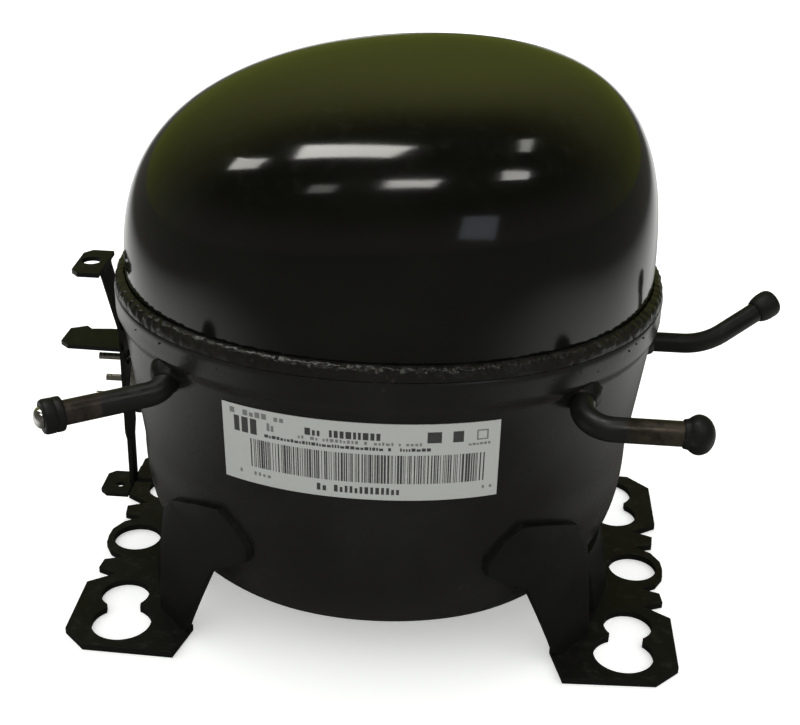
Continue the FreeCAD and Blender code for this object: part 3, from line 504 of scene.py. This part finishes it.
def bowl_profile(inset):
    """(z, half width, half depth) up the bowl: its rounded bottom, tapered wall, flare and lip."""
    power = 2 / BOWL_POWER
    low_a, low_b = bowl_wall(BOWL_TURN_Z)
    out = []
    for angle in [4, 7] + list(range(10, 91, 2)):
        turn = math.radians(angle)
        spread = math.sin(turn) ** power
        z = BOWL_TURN_Z - (BOWL_ROUND - inset) * math.cos(turn) ** power
        out.append((z, (low_a - inset) * spread, (low_b - inset) * spread))
    for i in range(1, 10):
        z = BOWL_TURN_Z + (NECK_Z - BOWL_TURN_Z) * i / 10
        a, b = bowl_wall(z)
        out.append((z, a - inset, b - inset))
    flare = [NECK_Z + (FLARE_TOP - NECK_Z) * i / 12 for i in range(13)]
    for z in flare + [106.0, 108.6]:
        grow = LIP_STEP * smooth_step(z, NECK_Z, FLARE_TOP) - inset
        out.append((z, BOWL_A + grow, BOWL_B + grow))
    return out


def lower_shell():
    ripple = drawn_ripple(0.3)
    rings = [[Vector((0, 0, BOWL_BOTTOM))]]
    rings += [plan_ring(z, a, b, wobble=ripple) for z, a, b in bowl_profile(0)]
    rounded_lip = ((110.2, 0.0), (110.65, -0.2), (LIP_TOP, -0.7), (LIP_TOP, -WALL))
    rings += [plan_ring(z, LIP_A + grow, LIP_B + grow) for z, grow in rounded_lip]
    rings += [plan_ring(z, a, b) for z, a, b in reversed(bowl_profile(WALL))]
    rings.append([Vector((0, 0, BOWL_BOTTOM + WALL))])
    piece("bowl", *loft(rings), BOWL_PAINT, "shell", "lower_shell", "shell_paint_satin", 40)


def bead_ring(share, out, z, count=1100):
    """One run of the bead round the dome; its lumps fade out at both ends of the bead's section."""
    swell = math.sin(math.pi * share) ** 0.6 if 0 < share < 1 else 0.0
    ring = []
    for k, base in enumerate(plan_ring(z, DOME_A + out, DOME_B + out, count)):
        turn = 2 * math.pi * k / count
        lump = 0.34 * noise.noise(base * 0.30) + 0.30 * noise.noise(base * 0.75)
        lump += 0.16 * noise.noise(base * 2.1)
        scales = 0.12 * math.sin(turn * 118 + 2.5 * share + 3.0 * noise.noise(base * 0.12))
        outward = Vector((math.cos(turn), math.sin(turn), 0.45)).normalized()
        ring.append(base + outward * (lump + scales) * swell)
    return ring


def weld_drop():
    """A small drop of weld metal on the outside of the lip."""
    turn = RANDOM.uniform(0, 2 * math.pi)
    z = RANDOM.uniform(106.0, 109.5)
    size = RANDOM.uniform(0.2, 0.4)
    places = 720
    seat = plan_ring(z, LIP_A, LIP_B, places)[int(turn / (2 * math.pi) * places) % places]
    outward = Vector((math.cos(turn), math.sin(turn), 0.0))
    profile = [(-0.3, 0), (-0.2, size)] + ellipse(0, size, size, 10, 100, 5) + [(size, 0)]
    return lathe(profile, seat, outward, 10)


def weld_bead():
    """The bead that joins the two shells: a low, uneven run with lumps, pits and a few drops."""
    foot, height, width, inside = LIP_TOP + 0.05, 4.1, 2.85, 0.25
    steps, drops = 16, 18
    rings = []
    for i in range(steps):
        share = i / (steps - 1)
        angle = math.radians(100 * share)
        out = inside + width * math.cos(angle) ** 0.8 if share < 0.89 else inside
        rings.append(bead_ring(share, out, foot + height * math.sin(angle)))
    rings += [bead_ring(1, 0.2, LIP_TOP + 1.6), bead_ring(0, 0.2, foot)]
    parts = [loft(rings, closed=True)] + [weld_drop() for _ in range(drops)]
    piece("weld_bead", *merged(parts), WELD_PAINT, "shell", "shell_weld", "weld_paint", 60)


# ---------------------------------------------------------------- tubes and caps

def tube(name, node, corners, bend, outer, inner, material):
    """A bent tube of the shell, open at both ends."""
    points, faces = pipe_mesh(round_bend(corners, bend), outer, inner)
    piece(name, points, faces, material, "shell", node, "tube_copper", 40)


def wall_distance(start, axis):
    """How far along a tube's root the shell's outer wall lies, to a tenth of a millimetre."""
    reach = 0.0
    while reach < 40:
        point = start + axis * reach
        a, b = bowl_wall(point.z)
        if abs(point.x / a) ** PLAN_POWER + abs(point.y / b) ** PLAN_POWER > 1:
            break
        reach += 0.1
    return reach


def collars():
    """The brazed roots of the three tubes: a flared fillet with a lumpy skin."""
    parts = []
    tubes = ((SUCTION, LARGE_R, 1.0), (PROCESS, LARGE_R, 1.0), (DISCHARGE, SMALL_R, 1.15))
    for corners, radius, grow in tubes:
        root, turn = Vector(corners[0]), Vector(corners[1])
        axis = (turn - root).normalized()
        wall = wall_distance(root, axis)
        fillet = ((-2.5, 0.05), (-2.5, 2.2 * grow), (0.2, 1.7 * grow), (1.2, 1.1 * grow), (2.2, 0.7),
                  (2.8, 0.35), (3.0, 0.05))
        profile = [(wall + along, radius + out) for along, out in fillet]
        parts.append(lathe(profile, root, axis, 64, 0.3))
    piece("tube_collars", *merged(parts), TUBE_PAINT, "shell", "tube_weld_collars", "weld_paint", 50)


def end_of(corners):
    """A tube's open end and the direction in which it points."""
    before, end = Vector(corners[-2]), Vector(corners[-1])
    return end, (end - before).normalized()


def suction_cap():
    """A rubber ball with a short skirt over the tube."""
    bore = LARGE_R + CAP_GAP
    hollow = [(CAP_FLOOR, 0), (CAP_FLOOR, bore), (-LARGE_COVER, bore)]
    skirt = [(-LARGE_COVER, bore + 0.3), (-4.4, bore + 0.5), (-3.6, bore + 0.62)]
    ball = ellipse(-0.2, 4.6, 5.8, -38, 90, 24) + [(4.4, 0)]
    mesh = lathe(hollow + skirt + ball, *end_of(SUCTION), wobble=0.05)
    piece("suction_cap_ball", *mesh, RUBBER, "suction_cap", "suction_tube_cap", "cap_rubber", 50)


def process_cap():
    """A rubber sleeve with a groove, which holds a bright steel stud."""
    bore = LARGE_R + CAP_GAP
    rim = bore + 1.4
    sleeve = [(-LARGE_COVER, bore), (-LARGE_COVER, bore + 0.9), (-4.4, bore + 1.25), (-4.0, rim), (-2.4, rim),
              (-2.1, bore + 1.2), (-1.8, rim), (0.3, rim), (0.9, bore + 1.25), (1.3, bore + 1.0),
              (1.4, bore + 0.7), (1.4, STUD_HOLE_R), (CAP_FLOOR, STUD_HOLE_R), (CAP_FLOOR, bore)]
    mesh = lathe(sleeve, *end_of(PROCESS), wobble=0.06)
    piece("process_cap_sleeve", *mesh, RUBBER, "process_cap", "process_tube_cap", "cap_rubber", 50)
    stud = [(-3.0, 0), (-3.0, 2.0), (-2.5, STUD_R), (1.45, STUD_R), (1.45, 2.9), (1.55, 3.15)]
    stud += ellipse(1.6, 2.05, 3.2, 0, 90, 10) + [(3.65, 0)]
    mesh = lathe(stud, *end_of(PROCESS))
    piece("process_cap_stud", *mesh, BALL_STEEL, "process_cap", "process_tube_ball", "bright_steel", 50)


def discharge_plug():
    """A rubber plug with a rounded body and a shallow dimple in its end."""
    bore = SMALL_R + CAP_GAP
    hollow = [(CAP_FLOOR, 0), (CAP_FLOOR, bore), (-SMALL_COVER, bore)]
    body = [(-SMALL_COVER, bore + 0.3), (-5.1, 3.85), (-4.2, 4.2), (-3.2, 4.45), (-2.0, 4.6), (0.0, 4.62),
            (1.0, 4.45), (1.7, 4.1), (2.15, 3.6), (2.2, 2.8), (1.9, 2.35), (1.0, 2.2), (1.0, 0)]
    mesh = lathe(hollow + body, *end_of(DISCHARGE), wobble=0.05)
    piece("discharge_plug_rubber", *mesh, RUBBER, "discharge_plug", "discharge_tube_plug", "cap_rubber", 50)


# ---------------------------------------------------------------- label

def on_wall(x, z, lift):
    """A point on the front of the bowl's wall, lifted off it."""
    a, b = bowl_wall(z)
    y = -b * (1 - abs(x / a) ** PLAN_POWER) ** (1 / PLAN_POWER)
    slope_x = math.copysign(abs(x / a) ** (PLAN_POWER - 1), x) / a
    slope_y = -abs(y / b) ** (PLAN_POWER - 1) / b
    return Vector((x, y, z)) + Vector((slope_x, slope_y, 0.0)).normalized() * lift


def label_point(across, up, lift):
    """The place on the wall at a share of the label's width and height."""
    x = LABEL_LEFT + (LABEL_RIGHT - LABEL_LEFT) * across
    z = LABEL_LOW + (LABEL_HIGH - LABEL_LOW) * up
    return on_wall(x, z, lift)


def patch(left, right, low, high, lifts=INK, columns=1):
    """A thin curved slab on the wall between two lifts."""
    points, faces = [], []
    for i in range(columns + 1):
        across = left + (right - left) * i / columns
        points += [label_point(across, low, lifts[0]), label_point(across, low, lifts[1]),
                   label_point(across, high, lifts[1]), label_point(across, high, lifts[0])]
    for i in range(columns):
        for k in range(4):
            after = (k + 1) % 4
            faces.append((4 * i + k, 4 * i + after, 4 * i + 4 + after, 4 * i + 4 + k))
    faces += [(3, 2, 1, 0), tuple(4 * columns + k for k in range(4))]
    return points, faces


def greeked(left, right, low, high, widths, gap):
    """A row of plain blocks that stands for a line of print without any letters."""
    out, start = [], left
    while start < right:
        width = RANDOM.choice(widths)
        if RANDOM.random() < 0.84:
            top = high - RANDOM.choice((0.0, 0.0, 0.25)) * (high - low)
            out.append(patch(start, min(start + width, right), low, top))
        start += width + gap
    return out


def bar_code(left, right, low, high):
    """Bars of random widths, which encode nothing."""
    out, start = [], left
    while start < right:
        width = RANDOM.choice((0.0022, 0.0022, 0.0044, 0.0044, 0.007))
        out.append(patch(start, start + width, low, high))
        start += width + RANDOM.choice((0.0022, 0.0035, 0.0035, 0.0055, 0.008))
    return out


def square_outline(left, right, low, high, across, upright):
    """An empty square of four bars; across and upright are the bars' thicknesses."""
    sides = ((left, right, low, low + across), (left, right, high - across, high),
             (left, left + upright, low, high), (right - upright, right, low, high))
    return [patch(*side, columns=2) for side in sides]


def rating_label():
    """The film and its print, laid out in shares of the film's width and height."""
    piece("label_sheet", *patch(0, 1, 0, 1, FILM, 48), LABEL_FILM, "shell", "rating_label", "label_film", 30)
    dark = greeked(0.045, 0.135, 0.66, 0.86, (0.020, 0.024), 0.009)
    dark += greeked(0.31, 0.60, 0.785, 0.875, (0.010, 0.014, 0.020), 0.007)
    dark += bar_code(0.105, 0.945, 0.225, 0.60)
    dark += greeked(0.33, 0.70, 0.075, 0.165, (0.010, 0.013), 0.008)
    dark += greeked(0.16, 0.76, 0.655, 0.695, (0.006, 0.010, 0.014), 0.004)
    dark += [patch(left, right, 0.76, 0.90, columns=2) for left, right in ((0.745, 0.795), (0.835, 0.872))]
    piece("label_print_dark", *merged(dark), LABEL_INK, "shell", slot="label_film", crease=30)
    grey = greeked(0.03, 0.25, 0.885, 0.955, (0.014, 0.018), 0.007)
    grey += greeked(0.155, 0.20, 0.745, 0.845, (0.010,), 0.005)
    grey += greeked(0.285, 0.74, 0.725, 0.765, (0.007, 0.010, 0.013), 0.006)
    grey += greeked(0.06, 0.18, 0.115, 0.160, (0.008, 0.012), 0.009)
    grey += greeked(0.93, 0.98, 0.115, 0.150, (0.008, 0.010), 0.005)
    grey += greeked(0.89, 0.97, 0.705, 0.735, (0.008, 0.010), 0.004)
    grey += square_outline(0.918, 0.958, 0.77, 0.90, across=0.015, upright=0.005)
    piece("label_print_grey", *merged(grey), LABEL_GREY, "shell", slot="label_film", crease=30)


# ---------------------------------------------------------------- parts between the shell and the pump, copied from CAD

def soft_copy(name, node, material):
    """A copy of a CAD piece that runs from the shell, at its start, to the pump, at its end, with a material
    of its own; the CAD node is hidden.
    """
    obj = bpy.data.objects.new(name, NODES[node].data.copy())
    bpy.context.collection.objects.link(obj)
    obj.data.materials.clear()
    obj.data.materials.append(material)
    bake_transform(obj)
    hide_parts(node)


# ---------------------------------------------------------------- CAD pieces that stay

KEPT = {
    "left_mounting_plate": PLATE_PAINT, "right_mounting_plate": PLATE_PAINT, "relay_bracket": PLATE_PAINT,
    "terminal_body": PLATED, "terminal_glass": GLASS_BEAD, "terminal_pins": PIN_METAL,
    "terminal_connector": NYLON, "lower_spring_seats": STEEL, "crankshaft": CAST,
    "oil_gallery_plug": STEEL, "slider_block": STEEL, "yoke": STEEL, "piston": CAST,
    "oil_pickup": STEEL, "thrust_washer": STEEL, "rotor_cage": CAST_ALLOY, "rotor_core": LAMINATION,
    "counterweight": STEEL, "stator_core": LAMINATION, "slot_liners": PAPER, "main_winding": WINDING,
    "start_winding": WINDING, "stator_bolts": STEEL, "cylinder_block": CAST, "cylinder_gasket": GASKET,
    "valve_plate": STEEL, "suction_reed": STEEL, "discharge_reed": STEEL, "discharge_stop": STEEL,
    "head_gasket": GASKET, "cylinder_head": CAST_ALLOY, "head_bolts": STEEL,
    "discharge_muffler_cover": STEEL, "suction_muffler_body": MUFFLER, "suction_muffler_lid": MUFFLER,
    "upper_spring_seats": NYLON,
}
SOFT_EDGES = {
    "left_mounting_plate": 0.45, "right_mounting_plate": 0.45, "relay_bracket": 0.3, "terminal_body": 0.3,
}


def soften(obj, width):
    """Rounds the pressed edges of a CAD piece."""
    join = obj.modifiers.new("join", "WELD")
    join.merge_threshold = 0.01 * MM
    bevel = obj.modifiers.new("edge", "BEVEL")
    bevel.width = width * MM
    bevel.segments = 2
    bevel.limit_method = "ANGLE"
    bevel.angle_limit = math.radians(35)
    bevel.harden_normals = True


def dress_kept():
    """Gives the CAD pieces that stay their materials, and softens the edges that show."""
    for name, material in KEPT.items():
        NODES[name].data.materials.clear()
        NODES[name].data.materials.append(material)
    for name, width in SOFT_EDGES.items():
        soften(NODES[name], width)


# ---------------------------------------------------------------- stage, light and camera

def floor():
    """A white floor with a painted reflection: the object's gloss sees it as dark except for two soft fields
    beside it.
    """
    g = material_graph("stage_floor")
    glossy = g.node("ShaderNodeLightPath").outputs["Is Glossy Ray"]
    white = g.mix(g.noise(3, 2), (0.95, 0.955, 0.94), (0.97, 0.97, 0.965))
    place = g.split(g.coords["Object"])
    across = g.math("ABSOLUTE", place["X"])
    aside = g.math("MULTIPLY", g.band(across, 0.11, 0.26), g.band(across, 0.26, 0.56, 1.0, 0.0))
    behind = g.band(place["Y"], -0.34, -0.02)
    # painted reflection: glossy rays see the floor dark in front and light in two soft fields beside and
    # behind the object
    painted_reflection = g.mix(g.math("MULTIPLY", aside, behind), (0.10, 0.095, 0.085), (0.95, 0.95, 0.94))
    glow = g.math("MULTIPLY", g.math("SUBTRACT", 1.0, glossy), 0.38)
    material = g.finish(Base_Color=g.mix(glossy, white, painted_reflection), Roughness=0.85, Specular_IOR_Level=0.1,
                        Emission_Color=(0.99, 1.0, 0.98), Emission_Strength=glow)
    size, depth = 4000.0, -0.2
    corners = [(-size, -size, depth), (size, -size, depth), (size, size, depth), (-size, size, depth)]
    piece("floor", corners, [(0, 1, 2, 3)], material)


def world():
    """White for the camera and for soft light; a dim olive room behind the object in reflections."""
    studio = bpy.data.worlds.new("studio")
    bpy.context.scene.world = studio
    g = Graph(studio, "ShaderNodeOutputWorld")
    direction = g.split(g.coords["Generated"])
    olive = g.mix(g.band(direction["Z"], 0.1, 0.55), (0.14, 0.16, 0.030), (0.20, 0.205, 0.065))
    olive = g.mix(g.band(direction["Z"], 0.55, 0.95), olive, (0.06, 0.06, 0.02))
    front = g.mix(g.band(direction["Z"], 0.0, 0.5), (0.13, 0.12, 0.11), (0.03, 0.028, 0.02))
    room = g.mix(g.band(direction["Y"], -0.12, 0.85), front, olive)
    glossy = g.node("ShaderNodeLightPath").outputs["Is Glossy Ray"]
    colour = g.mix(glossy, (1.04, 1.05, 1.04), room)
    g.close(g.node("ShaderNodeBackground", {"Color": colour, "Strength": 1.0}))


def stand(name, data, place, right, back):
    """An object at a place that looks away from back, with its own X along right."""
    obj = bpy.data.objects.new(name, data)
    bpy.context.collection.objects.link(obj)
    up = back.cross(right)
    rows = [(right[i], up[i], back[i], place[i]) for i in range(3)]
    obj.matrix_world = Matrix(rows + [(0, 0, 0, 1)])
    return obj


LAMP_AIM = Vector((0.01, -0.06, 0.165))
WARM, COOL = (1.0, 0.99, 0.93), (0.8, 0.86, 1.0)


def lamp(name, place, across, size, radiance, colour=WARM, soft=False):
    """A studio lamp, in metres, that faces the dome; across is the direction of its width."""
    light = bpy.data.lights.new(name, "AREA")
    light.shape = "RECTANGLE"
    light.size, light.size_y = size
    light.energy = radiance * math.pi * size[0] * size[1]
    light.color = colour
    place, side = Vector(place), Vector(across)
    back = (place - LAMP_AIM).normalized()
    obj = stand(name, light, place, (side - back * side.dot(back)).normalized(), back)
    obj.visible_camera = False
    obj.visible_diffuse = soft
    return obj


def camera():
    """Looks at the front from a little above, with a slight roll; angles are in radians."""
    azimuth, elevation, roll = 0.0587, 0.4507, 0.0288
    target, distance = Vector((4.50, -3.95, 80.0)) * MM, 0.470
    back = Vector((math.sin(azimuth) * math.cos(elevation), -math.cos(azimuth) * math.cos(elevation),
                   math.sin(elevation)))
    data = bpy.data.cameras.new("camera")
    data.sensor_width = 36.0
    data.lens = 63.522
    data.clip_start, data.clip_end = 0.01, 50.0
    level = (-back).cross(Vector((0, 0, 1))).normalized()
    right = level * math.cos(roll) + level.cross(-back) * math.sin(roll)
    bpy.context.scene.camera = stand("camera", data, target + back * distance, right, back)


# ---------------------------------------------------------------- build

upper_shell()
lower_shell()
weld_bead()
tube("suction_line", "suction_tube", SUCTION, LARGE_BEND, LARGE_R, LARGE_BORE, SUCTION_SKIN)
tube("process_line", "process_tube", PROCESS, LARGE_BEND, LARGE_R, LARGE_BORE, PROCESS_SKIN)
tube("discharge_line", "discharge_tube", DISCHARGE, SMALL_BEND, SMALL_R, SMALL_BORE, TUBE_PAINT)
collars()
suction_cap()
process_cap()
discharge_plug()
rating_label()
soft_copy("springs_soft", "suspension_springs", STEEL)
soft_copy("discharge_loop_soft", "discharge_loop", STEEL)
soft_copy("lead_wires_soft", "lead_wires", WIRE_SKIN)
dress_kept()
floor()
world()
camera()

lamp("long", (-0.426, 0.055, 1.501), (0.883, -0.353, 0.31), (0.70, 0.34), 11.0)
lamp("middle", (0.048, -0.899, 1.291), (0.996, -0.034, -0.077), (0.42, 0.24), 9.0)
lamp("left", (-1.034, 0.155, 1.123), (0.468, -0.645, 0.604), (0.28, 0.24), 7.0)
lamp("right", (0.923, -0.516, 1.151), (0.748, 0.509, -0.427), (0.30, 0.22), 7.0)
lamp("tilted", (0.725, 0.195, 1.367), (0.791, 0.342, -0.508), (0.12, 0.34), 4.0)
lamp("faint", (-0.647, -0.825, 1.155), (0.862, -0.475, 0.177), (0.22, 0.18), 2.0)
lamp("blue", (0.771, -1.232, 0.4), (0.847, 0.497, -0.189), (0.38, 0.36), 0.9, COOL)
lamp("fill", (-0.4, -1.2, 1.6), (0.9, -0.2, 0.1), (1.2, 1.2), 0.5, soft=True).visible_glossy = False

bpy.context.scene.view_settings.view_transform = "Standard"
